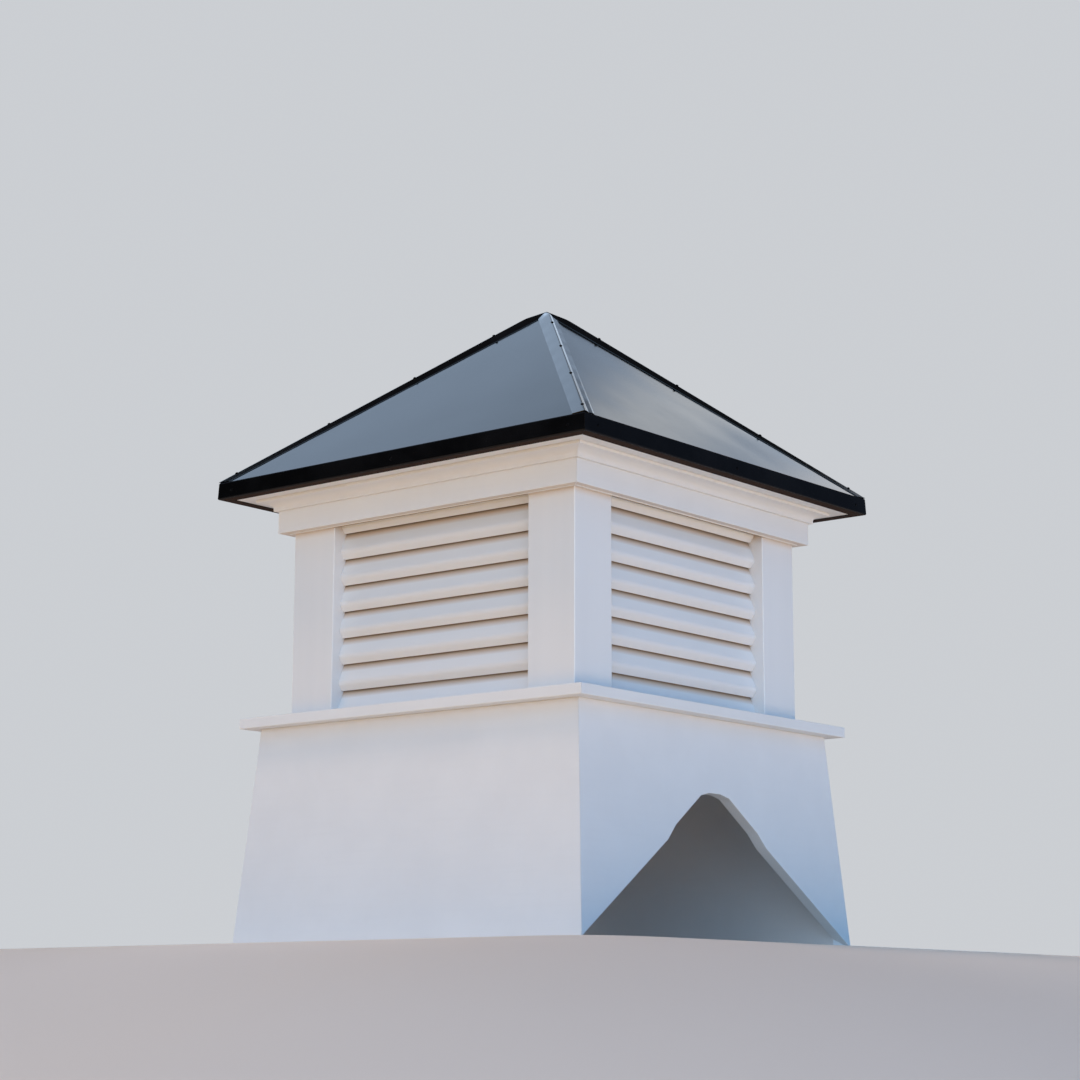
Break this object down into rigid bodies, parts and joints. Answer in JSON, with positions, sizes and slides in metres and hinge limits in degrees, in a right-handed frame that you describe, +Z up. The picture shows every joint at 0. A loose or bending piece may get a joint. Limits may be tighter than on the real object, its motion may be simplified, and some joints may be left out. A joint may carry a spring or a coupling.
{
  "type": "roof cupola",
  "caption": "Square louvred roof cupola with a flared, notched base that straddles a ridge and a hipped black metal roof.",
  "frame": {"origin": "middle of the footprint at the lowest edge of the base", "axes": "+Z up to the apex; the front faces -Y; the ridge that the base straddles runs along X"},
  "size_m": [0.7424, 0.7424, 1.0249],
  "materials": {
    "board_white": "smooth satin white cellular PVC board",
    "vinyl_white": "smooth white vinyl extrusion, soft gloss",
    "roof_black": "semi-gloss black coil-coated aluminium sheet"
  },
  "bodies": {
    "root": {"base_panel_front": "board_white", "base_panel_right": "board_white", "base_panel_back": "board_white", "base_panel_left": "board_white", "sill_board_front": "board_white", "sill_board_right": "board_white", "sill_board_back": "board_white", "sill_board_left": "board_white", "corner_post_front_right": "vinyl_white", "corner_post_back_right": "vinyl_white", "corner_post_back_left": "vinyl_white", "corner_post_front_left": "vinyl_white", "louvre_slats_front": "vinyl_white", "louvre_slats_right": "vinyl_white", "louvre_slats_back": "vinyl_white", "louvre_slats_left": "vinyl_white", "head_board_front": "board_white", "head_board_right": "board_white", "head_board_back": "board_white", "head_board_left": "board_white", "frieze_board_front": "board_white", "frieze_board_right": "board_white", "frieze_board_back": "board_white", "frieze_board_left": "board_white", "crown_moulding_front": "board_white", "crown_moulding_right": "board_white", "crown_moulding_back": "board_white", "crown_moulding_left": "board_white", "eave_board_front": "board_white", "eave_board_right": "board_white", "eave_board_back": "board_white", "eave_board_left": "board_white", "roof_panel_front": "roof_black", "roof_panel_right": "roof_black", "roof_panel_back": "roof_black", "roof_panel_left": "roof_black", "hip_cap_front_right": "roof_black", "hip_cap_back_right": "roof_black", "hip_cap_back_left": "roof_black", "hip_cap_front_left": "roof_black"}
  },
  "joints": []
}
